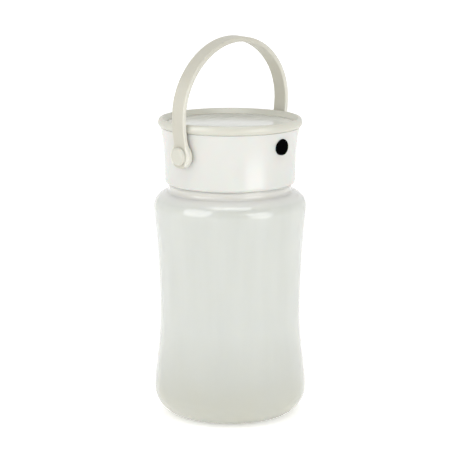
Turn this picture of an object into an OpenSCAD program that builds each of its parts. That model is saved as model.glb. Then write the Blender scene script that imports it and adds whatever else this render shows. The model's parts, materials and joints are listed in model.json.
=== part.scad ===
// Portable bottle lantern: a frosted bottle-shaped diffuser, a screw cap that holds the
// solar panel, cells, board and lamp, and a strap bail that swings on two studs.
// +Z is up, the bottle stands on z = 0, the bail's axis is along X and the button faces -Y.

/* [Bottle] */
// Radius of the bottle at its shoulder
shoulder_r = 50; // [49.5:0.1:50.5]
// Radius of the bottle at the top of its base corner
base_r = 50.1; // [49.5:0.1:50.5]
// Radius of the bottle at its waist
waist_r = 46.4; // [45:0.1:47.5]
// Height of the waist
waist_z = 71.5; // [66:0.5:76]
// Height at which the shoulder's arc starts
shoulder_z = 137.2; // [137:0.1:137.4]
// Radius of the shoulder's arc
shoulder_arc_r = 10.4; // [10.2:0.1:10.5]
// Radius of the rounded corner at the base
base_corner_r = 17.3; // [16:0.1:18]
// Thickness of the bottle's wall
bottle_wall = 1.5; // [1.2:0.1:1.8]
// Outer radius of the neck
neck_r = 38; // [37.8:0.1:38.1]
// Height of the neck's rim
neck_top_z = 168; // [167.8:0.1:168]

/* [Cap] */
// Height of the cap's lower edge
cap_bottom_z = 153.9; // [153.5:0.1:154.5]
// Radius of the cap's straight skirt
cap_r = 42.65; // [42.5:0.05:42.8]
// Radius of the flared cap at the seam under the rim ring
seam_r = 45.3; // [45.1:0.1:45.5]
// Height of the seam between cap and rim ring
seam_z = 190.8; // [190.6:0.1:191]
// Thickness of the cap's wall
cap_wall = 2.25; // [2.2:0.05:2.3]

/* [Rim and window] */
// Widest radius of the rim ring
rim_r = 46.9; // [46.7:0.1:47]
// Radius of the rim ring's highest edge
lip_r = 45; // [44.8:0.1:45.2]
// Height of the rim ring's highest edge
lip_z = 196.9; // [196.5:0.1:197.2]
// Depth of the window below the lip
window_recess = 3.6; // [3.4:0.1:3.8]

/* [Quick thread] */
// Rise of the thread in one full turn
thread_lead = 12; // [10:0.5:14]

/* [Handle] */
// Height of the bail's axis
pivot_z = 176.6; // [176:0.1:177]
// Width of the strap
strap_w = 10.6; // [9.5:0.1:10.6]
// Thickness of the strap
strap_t = 3.2; // [3:0.1:3.2]
// Half the distance between the legs, at the strap's middle surface
bail_half = 49.9; // [49.7:0.1:50.5]
// Height at which the legs turn into the arch
arch_z = 203.4; // [201:0.1:206]
// Height of the arch's crown, at the strap's middle surface
crown_z = 248; // [244:0.5:252]
// Lean of the bail towards the button side, in degrees
bail_lean = 2.8; // [0:0.1:5]
// Radius of the round eyelet at each end of the strap
eyelet_r = 8.1; // [7:0.1:8.1]
// Thickness of the eyelet
eyelet_t = 4; // [3.4:0.1:4]

/* [Button] */
// Radius of the push button
button_r = 5.2; // [4.5:0.1:5.2]
// Height of the button's axis
button_z = 181.6; // [180.6:0.1:181.8]

/* [Hidden] */
$fn = 96;

// bottle
foot_r = 30.5;
foot_rise = 2.5;
foot_dish_r = 25;
floor_t = 2;
neck_wall = 2;
collar_r = 39.9;
collar_top_z = cap_bottom_z - 0.3;
collar_fillet_r = 2;
bead_r = 40.25;
bead_z = 152;
bead_t = 1.2;
lower_power = 2.86;
upper_power = 1.975;
shoulder_slope = atan((shoulder_r - waist_r) * upper_power / (shoulder_z - waist_z));
shoulder_arc_x = shoulder_r - shoulder_arc_r * cos(shoulder_slope);
shoulder_arc_z = shoulder_z + shoulder_arc_r * sin(shoulder_slope);
shoulder_top_z = shoulder_arc_z + shoulder_arc_r;
collar_fillet_x = collar_r + collar_fillet_r;
collar_fillet_rise = sqrt(pow(shoulder_arc_r + collar_fillet_r, 2) - pow(collar_fillet_x - shoulder_arc_x, 2));
collar_meet = atan2(collar_fillet_rise, collar_fillet_x - shoulder_arc_x);

// quick thread: three inclined ramps on the neck, three lugs in the cap
thread_starts = 3;
thread_t = 2;
thread_play = 0.3;
ramp_r = neck_r + 1.6;
ramp_span = 80;
ramp_z = 162.5;
lug_r = neck_r + 0.35;
lug_span = 24;
lug_azimuth = (lug_span - ramp_span) / 2;
lug_z = ramp_z + thread_lead * lug_azimuth / 360 - thread_t - thread_play;
thread_slope = atan(thread_lead / (2 * PI * (neck_r + 0.8)));

// cap
cap_corner_r = 2.3;
flare_z = 154.2;
flare_power = 3;
socket_r = cap_r - cap_wall;
deck_z = neck_top_z + 1.5;
deck_t = 2;
deck_top_z = deck_z + deck_t;
deck_hole_r = 22;
shelf_t = 1.5;
shelf_r = 40;
tongue_r = 44.2;
tongue_t = 0.7;
tongue_h = 0.9;

// window stack
rim_wide_z = seam_z + (lip_z - seam_z) * 0.44;
window_z = lip_z - window_recess;
window_t = 2;
window_r = 43.4;
sight_r = 42;
gasket_t = window_z - window_t - seam_z;
gasket_r = 41;
panel_r = 39.6;
panel_t = 1.5;
cell_t = 0.3;
cell_strips = 5;
cell_pitch = 13.2;
cell_gap = 0.8;
cell_top_z = window_z - window_t;
panel_z = cell_top_z - cell_t - panel_t;

// lamp
lamp_board_r = 25;
lamp_board_t = 1.6;
led_size = 5;
led_t = 1.6;
led_ring_r = 12;
led_ring_count = 6;
cover_r = 30.2;
cover_flange_r = 34.8;
cover_flange_t = 1.5;
cover_depth = 9;
cover_dome = 2;
cover_wall = 1.4;
cover_screw_ring_r = 32.4;
cover_boss_r = 2.6;
cover_boss_h = 4.5;
screw_r = 1.1;
screw_head_r = 2;
screw_head_t = 1.1;

// cells and their tray
tray_l = 58;
tray_w = 33;
tray_h = 9;
tray_wall = 1.6;
tray_floor_t = 1.4;
tray_y = 8;
tray_z = deck_top_z + 2;
ear_x = 33.5;
ear_r = 3.6;
ear_t = 2;
cell_r = 7.1;
cell_l = 49;
cell_y = 7.5;
cell_z = tray_z + tray_floor_t + cell_r;
nub_r = 2.6;
nub_l = 1;
contact_t = 0.4;
contact_w = 11;
spring_r = 3;
spring_wire_r = 0.35;

// button, switch and control board
button_bore_r = button_r + 0.05;
button_face_y = -46;
button_flange_r = 6.2;
button_flange_y = -40.2;
button_flange_t = 1;
button_stem_r = 2;
plunger_r = 1.7;
plunger_y = -38.6;
switch_w = 6;
switch_y = -36.5;
board_y = -33;
board_t = 1.6;
board_w = 30;
board_z = 173.2;
board_h = 14;
chip_w = 5;
chip_h = 4;
chip_t = 1.5;
chip_x = 4;
chip_z = board_z + 4.3;
inductor_r = 2.8;
inductor_t = 3;
inductor_x = -8;
inductor_z = board_z + 6.8;
capacitor_r = 1.6;
capacitor_t = 4;
capacitor_z = board_z + 11.1;
post_x = 15.5;
post_w = 3.4;
post_d = 5;
post_h = 12;

// pivots
eyelet_x = 44.5;
leg_low_x = eyelet_x + strap_t / 2;
leg_steps = 14;
arch_steps = 72;
flare_from_z = pivot_z + 5.4;
stud_r = 2.5;
stud_bore_r = stud_r + 0.02;
eyelet_bore_r = stud_r + 0.06;
stud_head_r = 5.8;
stud_face_r = 4.7;
stud_head_t = 2.4;
stud_head_x = eyelet_x + eyelet_t + 0.1;
stud_end_x = 38.6;
pivot_boss_r = 4.5;
pivot_boss_x = eyelet_x - 0.2;
clip_seat_r = 5.5;
clip_seat_x = 40.3;
clip_r = 4.2;
clip_t = 0.8;

// wires
wire_r = 0.5;
wire_ball_r = 0.6;
panel_lead_z = board_z + board_h - 0.8;
panel_lead_bend_y = board_y + 4.5;
panel_lead_end_y = board_y + 11;
battery_lead_x = 11;
battery_lead_z = board_z + 5.8;
tray_terminal_x = 24;
tray_terminal_z = board_z + 3.8;
lamp_lead_z = board_z + 2.4;
lamp_pad_y = 2 - lamp_board_r;

// ---------------------------------------------------------------- outlines

// points of an arc about [r, z] from angle a to angle b
function arc(centre, radius, a, b, steps) =
    [for (i = [0:steps]) centre + radius * [cos(a + (b - a) * i / steps), sin(a + (b - a) * i / steps)]];

// the bottle's side between base corner and waist: t is 1 at the corner and 0 at the waist
function lower_r(t) = waist_r + (base_r - waist_r) * pow(t, lower_power) * (1 + lower_power * (1 - t));
function lower_z(t) = waist_z - t * (waist_z - base_corner_r);

// the bottle's side between waist and shoulder: t is 0 at the waist and 1 at the shoulder
function upper_r(t) = waist_r + (shoulder_r - waist_r) * pow(t, upper_power);
function upper_z(t) = waist_z + t * (shoulder_z - waist_z);

// one skin of the bottle from the base corner to the shoulder arc's end, moved inwards by inset
function bottle_skin(inset, steps, arc_end) = concat(
    arc([base_r - base_corner_r, base_corner_r], base_corner_r - inset, -90, 0, 12),
    [for (i = [1:steps]) [lower_r(1 - i / steps) - inset, lower_z(1 - i / steps)]],
    [for (i = [1:steps]) [upper_r(i / steps) - inset, upper_z(i / steps)]],
    arc([shoulder_arc_x, shoulder_arc_z], shoulder_arc_r - inset, 0, arc_end, 12)
);

// the cap's outer radius at height z
function cap_outer_r(z) = cap_r + (seam_r - cap_r) * pow(max(0, (z - flare_z) / (seam_z - flare_z)), flare_power);

// the strap's middle surface in a leg, from the flat eyelet out to the arch
function leg_t(z) = max(0, (z - flare_from_z) / (arch_z - flare_from_z));
function leg_x(z) = leg_low_x + (bail_half - leg_low_x) * leg_t(z) * (2 - leg_t(z));

// one face of the strap, offset by side from its middle surface, from the left eyelet to the right
function strap_face(side) = concat(
    [for (i = [0:leg_steps - 1]) let (z = flare_from_z + (arch_z - flare_from_z) * i / leg_steps)
        [-leg_x(z) - side, z]],
    [for (i = [0:arch_steps]) let (a = 180 - 180 * i / arch_steps)
        [(bail_half + side) * cos(a), arch_z + (crown_z - arch_z + side) * sin(a)]],
    [for (i = [leg_steps - 1:-1:0]) let (z = flare_from_z + (arch_z - flare_from_z) * i / leg_steps)
        [leg_x(z) + side, z]]
);

// ---------------------------------------------------------------- helpers

// a tilted arc of rectangular section, centred on azimuth 0 at height z
module thread_arc(inner_r, outer_r, span, z)
    translate([0, 0, z])
        rotate([thread_slope, 0, 0])
            rotate([0, 0, -span / 2])
                rotate_extrude(angle = span)
                    translate([inner_r, -thread_t / 2])
                        square([outer_r - inner_r, thread_t]);

// a flat ring standing on height z
module ring(outer_r, inner_r, z, h)
    translate([0, 0, z])
        rotate_extrude()
            translate([inner_r, 0])
                square([outer_r - inner_r, h]);

// a round bar along X from x0 to x1
module bar_x(r, x0, x1)
    translate([x0, 0, 0])
        rotate([0, 90, 0])
            cylinder(r = r, h = x1 - x0);

// a round bar along +Y from y0 to y1
module bar_y(r, y0, y1)
    translate([0, y0, 0])
        rotate([-90, 0, 0])
            cylinder(r = r, h = y1 - y0);

// children repeated at equal turns about Z
module around(count, first = 0)
    for (i = [0:count - 1])
        rotate([0, 0, first + 360 * i / count])
            children();

// a wire through points: straight runs joined by balls
module wire(points) {
    for (i = [0:len(points) - 2]) {
        run = points[i + 1] - points[i];
        translate(points[i])
            rotate([0, acos(run[2] / norm(run)), atan2(run[1], run[0])])
                cylinder(r = wire_r, h = norm(run), $fn = 16);
    }
    for (i = [1:len(points) - 2])
        translate(points[i])
            sphere(r = wire_ball_r, $fn = 16);
}

// a pan-head screw whose head's underside is at z = 0 and whose shank points up
module screw_up(shank_l) {
    cylinder(r = screw_r, h = shank_l);
    translate([0, 0, -screw_head_t])
        cylinder(r = screw_head_r, h = screw_head_t);
}

// ---------------------------------------------------------------- bottle

module bottle() color("gainsboro", 0.85) {
    inset = bottle_wall;
    rotate_extrude()
        difference() {
            polygon(concat(
                [[0, foot_rise], [foot_dish_r, foot_rise], [foot_r, 0]],
                bottle_skin(0, 20, collar_meet),
                arc([collar_fillet_x, shoulder_arc_z + collar_fillet_rise], collar_fillet_r, 180 + collar_meet, 180, 6),
                [[collar_r, collar_top_z], [neck_r, collar_top_z], [neck_r, neck_top_z], [0, neck_top_z]]
            ));
            polygon(concat(
                [[0, foot_rise + floor_t], [foot_dish_r, foot_rise + floor_t], [foot_r, floor_t]],
                [for (p = bottle_skin(inset, 20, 90)) if (p[0] > foot_r + 1) p],
                [[neck_r - neck_wall, shoulder_top_z - inset], [neck_r - neck_wall, neck_top_z + 1], [0, neck_top_z + 1]]
            ));
        }
    ring(bead_r, neck_r - 0.3, bead_z - bead_t / 2, bead_t);
    around(thread_starts)
        thread_arc(neck_r - 0.2, ramp_r, ramp_span, ramp_z);
}

module neck_seal() color("whitesmoke")
    ring(neck_r + 1.2, cover_flange_r + 0.5, neck_top_z, deck_z - neck_top_z);

// ---------------------------------------------------------------- cap

module cap_skin() {
    steps = 20;
    inner_top_z = seam_z - shelf_t;
    rotate_extrude()
        polygon(concat(
            arc([cap_r - cap_corner_r, cap_bottom_z + cap_corner_r], cap_corner_r, -90, 0, 8),
            [for (i = [1:steps]) let (z = cap_bottom_z + cap_corner_r + (seam_z - cap_bottom_z - cap_corner_r) * i / steps)
                [cap_outer_r(z), z]],
            [[tongue_r + tongue_t / 2, seam_z], [tongue_r + tongue_t / 2, seam_z - tongue_h - 0.1]],
            [[tongue_r - tongue_t / 2, seam_z - tongue_h - 0.1], [tongue_r - tongue_t / 2, seam_z]],
            [[shelf_r, seam_z], [shelf_r, inner_top_z]],
            [for (i = [0:12]) let (z = inner_top_z - (inner_top_z - deck_top_z) * i / 12)
                [cap_outer_r(z) - cap_wall, z]],
            [[deck_hole_r, deck_top_z], [deck_hole_r, deck_z], [socket_r, deck_z], [socket_r, cap_bottom_z + 1]]
        ));
}

// slotted posts that hold the control board's two edges
module board_posts()
    for (side = [-1, 1])
        difference() {
            translate([side * post_x - post_w / 2, board_y - 1.6, deck_top_z - 0.2])
                cube([post_w, post_d, post_h]);
            translate([-board_w / 2 - 0.1, board_y - 0.1, deck_top_z + 1])
                cube([board_w + 0.2, board_t + 0.2, post_h]);
        }

// a flat round seat outside and inside the wall at each pivot
module pivot_bosses()
    for (side = [0, 180])
        translate([0, 0, pivot_z])
            rotate([0, 0, side]) {
                bar_x(pivot_boss_r, clip_seat_x + 1, pivot_boss_x);
                bar_x(clip_seat_r, clip_seat_x, socket_r + 1.3);
            }

module cap_shell() color("white")
    difference() {
        union() {
            cap_skin();
            around(thread_starts, lug_azimuth)
                thread_arc(lug_r, socket_r + 0.3, lug_span, lug_z);
            around(3, 90)
                translate([cover_screw_ring_r, 0, deck_top_z - 0.2])
                    cylinder(r = cover_boss_r, h = cover_boss_h);
            for (x = [-ear_x, ear_x])
                translate([x, tray_y, deck_top_z - 0.2])
                    cylinder(r = ear_r - 0.4, h = tray_z - deck_top_z + 0.2);
            board_posts();
            pivot_bosses();
        }
        around(3, 90)
            translate([cover_screw_ring_r, 0, deck_z - 1])
                cylinder(r = screw_r + 0.02, h = cover_boss_h + 1.5);
        for (x = [-ear_x, ear_x])
            translate([x, tray_y, deck_top_z - 1])
                cylinder(r = screw_r + 0.02, h = 5);
        translate([0, 0, pivot_z])
            bar_x(stud_bore_r, -seam_r - 1, -stud_end_x + 1);
        translate([0, 0, pivot_z])
            bar_x(stud_bore_r, stud_end_x - 1, seam_r + 1);
        translate([0, 0, button_z])
            bar_y(button_bore_r, -seam_r - 2, button_flange_y + 1);
    }

module rim_ring() color("beige") {
    inner_slope_z = lip_z - 0.5;
    rotate_extrude()
        polygon(concat(
            [[window_r + 0.1, seam_z], [seam_r + 0.1, seam_z]],
            [for (i = [1:5]) [seam_r + 0.1 + (rim_r - seam_r - 0.1) * sin(90 * i / 5),
                seam_z + (rim_wide_z - seam_z) * i / 5]],
            [for (i = [1:10]) [lip_r + (rim_r - lip_r) * cos(90 * i / 10),
                rim_wide_z + (lip_z - rim_wide_z) * sin(90 * i / 10)]],
            [[lip_r - 0.8, inner_slope_z], [sight_r, window_z + 0.4], [sight_r, window_z], [window_r + 0.1, window_z]]
        ));
    ring(tongue_r + tongue_t / 2 - 0.05, tongue_r - tongue_t / 2 + 0.05, seam_z - tongue_h, tongue_h + 0.3);
}

module window() color("lightgray", 0.6)
    translate([0, 0, window_z - window_t])
        cylinder(r = window_r, h = window_t);

module window_gasket() color("dimgray")
    ring(window_r, gasket_r, seam_z, gasket_t);

// ---------------------------------------------------------------- solar panel

module solar_panel() color("darkgreen")
    translate([0, 0, panel_z])
        cylinder(r = panel_r, h = panel_t);

// parallel strips cut to the panel's round outline
module solar_cells() color("midnightblue")
    intersection() {
        translate([0, 0, panel_z + panel_t])
            cylinder(r = panel_r - 1.5, h = cell_t);
        for (i = [0:cell_strips - 1])
            translate([-panel_r, (i - (cell_strips - 1) / 2) * cell_pitch - (cell_pitch - cell_gap) / 2, panel_z])
                cube([2 * panel_r, cell_pitch - cell_gap, 2 * panel_t]);
    }

// ---------------------------------------------------------------- lamp

module light_cover() color("white", 0.7)
    difference() {
        rotate_extrude()
            polygon([
                [0, deck_z - cover_depth - cover_dome],
                [cover_r * 0.4, deck_z - cover_depth - cover_dome * 0.85],
                [cover_r * 0.75, deck_z - cover_depth - cover_dome * 0.45],
                [cover_r - 1, deck_z - cover_depth],
                [cover_r, deck_z - cover_depth + 1],
                [cover_r, deck_z - cover_flange_t],
                [cover_flange_r, deck_z - cover_flange_t],
                [cover_flange_r, deck_z],
                [cover_r - cover_wall, deck_z],
                [cover_r - cover_wall, deck_z - cover_depth + 1.2],
                [0, deck_z - cover_depth + 1.2 - cover_dome]
            ]);
        around(3, 90)
            translate([cover_screw_ring_r, 0, deck_z - cover_flange_t - 1])
                cylinder(r = screw_r + 0.02, h = cover_flange_t + 2);
    }

module cover_screws() color("silver")
    around(3, 90)
        translate([cover_screw_ring_r, 0, deck_z - cover_flange_t])
            screw_up(cover_flange_t + deck_t + 3);

module reflector() color("white") {
    top_r = deck_hole_r - 1.2;
    bottom_r = cover_r - cover_wall - 0.4;
    bottom_z = deck_z - cover_depth + 2;
    rotate_extrude()
        polygon([
            [top_r - 1, deck_top_z],
            [top_r, deck_top_z],
            [top_r, deck_z],
            [bottom_r, bottom_z],
            [bottom_r - 1.2, bottom_z],
            [top_r - 1, deck_z - 0.4]
        ]);
}

module led_board() color("white")
    translate([0, 0, deck_top_z])
        cylinder(r = lamp_board_r, h = lamp_board_t);

module leds() color("khaki") {
    around(led_ring_count)
        translate([led_ring_r - led_size / 2, -led_size / 2, deck_top_z - led_t])
            cube([led_size, led_size, led_t]);
    translate([-led_size / 2, -led_size / 2, deck_top_z - led_t])
        cube([led_size, led_size, led_t]);
}

// ---------------------------------------------------------------- cells

module battery_holder() color("black")
    difference() {
        union() {
            translate([-tray_l / 2, tray_y - tray_w / 2, tray_z])
                cube([tray_l, tray_w, tray_h]);
            for (side = [-1, 1])
                translate([side * ear_x, tray_y, tray_z]) {
                    cylinder(r = ear_r, h = ear_t);
                    translate([side > 0 ? -ear_x + tray_l / 2 - 1 : 0, -ear_r, 0])
                        cube([ear_x - tray_l / 2 + 1, 2 * ear_r, ear_t]);
                }
        }
        translate([-tray_l / 2 + tray_wall, tray_y - tray_w / 2 + tray_wall, tray_z + tray_floor_t])
            cube([tray_l - 2 * tray_wall, tray_w - 2 * tray_wall, tray_h]);
        for (x = [-ear_x, ear_x])
            translate([x, tray_y, tray_z - 1])
                cylinder(r = screw_r + 0.02, h = ear_t + 2);
    }

// two cells side by side, the second one turned round
module battery_cells() color("seagreen")
    for (side = [-1, 1])
        translate([0, tray_y + side * cell_y, cell_z])
            rotate([0, 0, side < 0 ? 180 : 0]) {
                bar_x(cell_r, -cell_l / 2 - 0.5, cell_l / 2 - 0.5);
                bar_x(nub_r, cell_l / 2 - 1, cell_l / 2 - 0.5 + nub_l);
            }

// flat plates on both end walls, and rings of spring wire against the cells' flat ends
module battery_contacts() color("silver") {
    plate_x = tray_l / 2 - tray_wall;
    plate_z = tray_z + tray_floor_t;
    for (side = [-1, 1])
        translate([0, tray_y + side * cell_y, 0])
            rotate([0, 0, side < 0 ? 180 : 0]) {
                translate([-plate_x, -contact_w / 2, plate_z])
                    cube([contact_t, contact_w, tray_h - tray_floor_t + 1]);
                translate([plate_x - contact_t, -contact_w / 2, plate_z])
                    cube([contact_t, contact_w, tray_h - tray_floor_t + 1]);
                for (turn = [0:1])
                    translate([-plate_x + contact_t + spring_wire_r + turn * 0.85, 0, cell_z])
                        rotate([0, 90, 0])
                            rotate_extrude()
                                translate([spring_r - turn * 0.6, 0])
                                    circle(r = spring_wire_r, $fn = 16);
            }
}

module holder_screws() color("silver")
    for (x = [-ear_x, ear_x])
        translate([x, tray_y, tray_z + ear_t])
            rotate([180, 0, 0])
                screw_up(ear_t + 2.2);

// ---------------------------------------------------------------- board and switch

module control_board() color("darkgreen")
    translate([-board_w / 2, board_y, board_z])
        cube([board_w, board_t, board_h]);

// a driver chip, an inductor and two capacitors on the board's inner face
module board_parts() color("dimgray") {
    face_y = board_y + board_t;
    translate([chip_x, face_y, chip_z])
        cube([chip_w, chip_t, chip_h]);
    translate([inductor_x, 0, inductor_z])
        bar_y(inductor_r, face_y, face_y + inductor_t);
    for (x = [-1, chip_x + chip_w - 0.5])
        translate([x, 0, capacitor_z])
            bar_y(capacitor_r, face_y, face_y + capacitor_t);
}

module switch_body() color("black")
    difference() {
        translate([-switch_w / 2, switch_y, button_z - switch_w / 2])
            cube([switch_w, board_y - switch_y, switch_w]);
        translate([0, 0, button_z])
            bar_y(plunger_r + 0.06, switch_y - 1, switch_y + 2.2);
    }

module switch_plunger() color("black")
    translate([0, 0, button_z])
        bar_y(plunger_r, plunger_y, switch_y + 1.2);

module power_button() color("black")
    translate([0, 0, button_z])
        rotate([-90, 0, 0]) {
            rotate_extrude()
                polygon([
                    [0, button_face_y],
                    [button_r * 0.6, button_face_y + 0.05],
                    [button_r - 0.5, button_face_y + 0.25],
                    [button_r, button_face_y + 0.8],
                    [button_r, button_flange_y],
                    [button_flange_r, button_flange_y],
                    [button_flange_r, button_flange_y + button_flange_t],
                    [button_stem_r, button_flange_y + button_flange_t],
                    [button_stem_r, plunger_y],
                    [0, plunger_y]
                ]);
        }

// ---------------------------------------------------------------- bail and studs

module handle() color("beige")
    translate([0, 0, pivot_z])
        rotate([bail_lean, 0, 0])
            translate([0, 0, -pivot_z])
                difference() {
                    union() {
                        rotate([90, 0, 0])
                            linear_extrude(height = strap_w, center = true)
                                polygon(concat(
                                    [[-eyelet_x - strap_t, pivot_z]],
                                    strap_face(strap_t / 2),
                                    [[eyelet_x + strap_t, pivot_z], [eyelet_x, pivot_z]],
                                    [for (i = [2 * leg_steps + arch_steps:-1:0]) strap_face(-strap_t / 2)[i]],
                                    [[-eyelet_x, pivot_z]]
                                ));
                        for (side = [0, 180])
                            translate([0, 0, pivot_z])
                                rotate([0, 0, side])
                                    bar_x(eyelet_r, eyelet_x, eyelet_x + eyelet_t);
                    }
                    for (side = [0, 180])
                        translate([0, 0, pivot_z])
                            rotate([0, 0, side])
                                bar_x(eyelet_bore_r, eyelet_x - 1, eyelet_x + eyelet_t + 1);
                }

// a stud on the +X side: domed head, and a shank through eyelet and wall
module stud()
    translate([0, 0, pivot_z])
        rotate([0, 90, 0])
            rotate_extrude()
                polygon([
                    [0, stud_end_x],
                    [stud_r - 0.3, stud_end_x],
                    [stud_r, stud_end_x + 0.3],
                    [stud_r, stud_head_x],
                    [stud_head_r, stud_head_x],
                    [stud_head_r, stud_head_x + stud_head_t * 0.4],
                    [stud_head_r - 0.2, stud_head_x + stud_head_t * 0.65],
                    [stud_face_r, stud_head_x + stud_head_t * 0.9],
                    [stud_face_r / 2, stud_head_x + stud_head_t],
                    [0, stud_head_x + stud_head_t]
                ]);

module right_stud() color("ivory")
    stud();

module left_stud() color("ivory")
    rotate([0, 0, 180])
        stud();

module stud_clips() color("silver")
    for (side = [0, 180])
        translate([0, 0, pivot_z])
            rotate([0, 0, side])
                difference() {
                    bar_x(clip_r, clip_seat_x - clip_t, clip_seat_x);
                    bar_x(stud_r, clip_seat_x - clip_t - 1, clip_seat_x + 1);
                }

// ---------------------------------------------------------------- wires

// each pair starts at the control board's inner face
module panel_leads() color("firebrick")
    for (x = [3.5, 6])
        wire([
            [x, board_y + board_t, panel_lead_z],
            [x, panel_lead_bend_y, panel_lead_z],
            [x, panel_lead_bend_y + 3, panel_z - 1.5],
            [x, panel_lead_end_y, panel_z - wire_ball_r]
        ]);

module battery_leads() color("firebrick")
    for (side = [-1, 1])
        wire([
            [side * battery_lead_x, board_y + board_t + wire_r, battery_lead_z],
            [side * tray_terminal_x, tray_y - tray_w / 2 - wire_r, tray_terminal_z]
        ]);

module lamp_leads() color("firebrick")
    for (x = [-3, -1])
        wire([
            [x, board_y + board_t + wire_r, lamp_lead_z],
            [2 * x, lamp_pad_y, deck_top_z + lamp_board_t + wire_ball_r]
        ]);

bottle();
neck_seal();
cap_shell();
rim_ring();
window();
window_gasket();
solar_panel();
solar_cells();
light_cover();
cover_screws();
reflector();
led_board();
leds();
battery_holder();
battery_cells();
battery_contacts();
holder_screws();
control_board();
board_parts();
switch_body();
switch_plunger();
power_button();
handle();
left_stud();
right_stud();
stud_clips();
panel_leads();
battery_leads();
lamp_leads();
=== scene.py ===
"""A portable bottle lantern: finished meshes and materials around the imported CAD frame, in metres."""

import json
from math import atan, atan2, cos, degrees, pi, radians, sin, sqrt, tan

import bmesh
import bpy
from mathutils import Matrix, Vector


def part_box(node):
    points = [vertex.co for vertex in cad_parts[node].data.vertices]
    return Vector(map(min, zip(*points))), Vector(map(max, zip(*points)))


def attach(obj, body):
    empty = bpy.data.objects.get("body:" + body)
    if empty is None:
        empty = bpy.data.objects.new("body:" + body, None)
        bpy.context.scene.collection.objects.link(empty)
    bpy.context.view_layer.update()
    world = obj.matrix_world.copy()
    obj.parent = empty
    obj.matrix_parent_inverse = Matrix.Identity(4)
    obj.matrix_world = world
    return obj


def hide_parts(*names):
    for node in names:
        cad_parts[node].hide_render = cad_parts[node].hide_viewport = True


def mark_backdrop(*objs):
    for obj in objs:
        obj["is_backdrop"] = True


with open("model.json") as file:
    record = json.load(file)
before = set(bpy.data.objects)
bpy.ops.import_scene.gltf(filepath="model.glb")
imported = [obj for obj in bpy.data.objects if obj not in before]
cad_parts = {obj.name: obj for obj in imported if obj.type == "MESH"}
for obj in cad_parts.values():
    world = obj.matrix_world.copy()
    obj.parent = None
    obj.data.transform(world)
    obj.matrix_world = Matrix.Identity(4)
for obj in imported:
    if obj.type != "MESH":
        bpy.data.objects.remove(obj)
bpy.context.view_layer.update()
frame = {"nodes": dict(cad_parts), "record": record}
MM = 0.001


def size_of(node, corner, axis):
    """One coordinate of a CAD node's box, on axis x, y or z: corner 0 is the lowest and 1 the highest."""
    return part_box(node)[corner]["xyz".index(axis)]


# ---------------------------------------------------------------- sizes

# bottle
SHOULDER_R = 50.0 * MM
BASE_R = size_of("bottle", 1, "y")
WAIST_R = 46.4 * MM
WAIST_Z = 71.5 * MM
SHOULDER_Z = 137.2 * MM
SHOULDER_ARC_R = 10.4 * MM
BASE_CORNER_R = 17.3 * MM
BOTTLE_WALL = 1.5 * MM
NECK_R = 38.0 * MM
NECK_WALL = 2.0 * MM
NECK_TOP = size_of("bottle", 1, "z")
FOOT_R = 30.5 * MM
FOOT_FLAT = 2.0 * MM
FOOT_DISH_R = 25.0 * MM
FOOT_DISH_SOFT = 4.0 * MM
FOOT_RISE = 2.5 * MM
FLOOR_T = 2.0 * MM
COLLAR_R = 39.9 * MM
COLLAR_TOP = size_of("cap_shell", 0, "z") - 0.3 * MM
COLLAR_FILLET_R = 2.0 * MM
BEAD_R = 40.1 * MM
BEAD_Z = 152.0 * MM
BEAD_T = 1.2 * MM
LOWER_POWER = 2.86
UPPER_POWER = 1.975
THREAD_STARTS = 3
THREAD_LEAD = 12.0 * MM
THREAD_T = 2.0 * MM
THREAD_H = 1.6 * MM
THREAD_SOFT = 0.5 * MM
THREAD_SINK = 0.3 * MM
THREAD_Z = 162.5 * MM
RAMP_SPAN = radians(80)
LUG_SPAN = radians(24)
LUG_TURN = (LUG_SPAN - RAMP_SPAN) / 2
LUG_GAP = 0.3 * MM
LUG_Z = THREAD_Z + THREAD_LEAD * LUG_TURN / (2 * pi) - THREAD_T - LUG_GAP
LUG_INNER_R = NECK_R + 0.35 * MM

# cap
CAP_BOTTOM = size_of("cap_shell", 0, "z")
SEAM_Z = size_of("cap_shell", 1, "z")
SEAM_R = size_of("cap_shell", 1, "x")
CAP_R = 42.65 * MM
CAP_WALL = 2.25 * MM
CAP_CORNER_R = 2.3 * MM
FLARE_Z = 154.2 * MM
FLARE_POWER = 3
SOCKET_R = CAP_R - CAP_WALL
DECK_Z = size_of("light_cover", 1, "z")
DECK_TOP = size_of("led_board", 0, "z")
DECK_HOLE_R = 22.0 * MM
SHELF_R = 40.0 * MM
SHELF_BOTTOM = SEAM_Z - 1.5 * MM
POST_H = 11.8 * MM
POST_DEPTH = 5.0 * MM
POST_BACK = 1.6 * MM
POST_GRIP = 1.2 * MM
POST_SIDE = 2.2 * MM
SLOT_GAP = 0.1 * MM

# rim ring and window
RIM_R = size_of("rim_ring", 1, "x")
LIP_Z = size_of("rim_ring", 1, "z")
LIP_R = 45.0 * MM
RIM_WIDE_Z = SEAM_Z + (LIP_Z - SEAM_Z) * 0.44
SIGHT_R = 42.0 * MM
WINDOW_R = size_of("window", 1, "x")
WINDOW_TOP = size_of("window", 1, "z")
WINDOW_BOTTOM = size_of("window", 0, "z") + 0.2 * MM
TONGUE_R = 44.2 * MM
TONGUE_T = 0.6 * MM
TONGUE_H = 0.9 * MM
SEAM_GAP_D = 0.5 * MM
SEAM_GAP_T = 0.3 * MM

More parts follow.
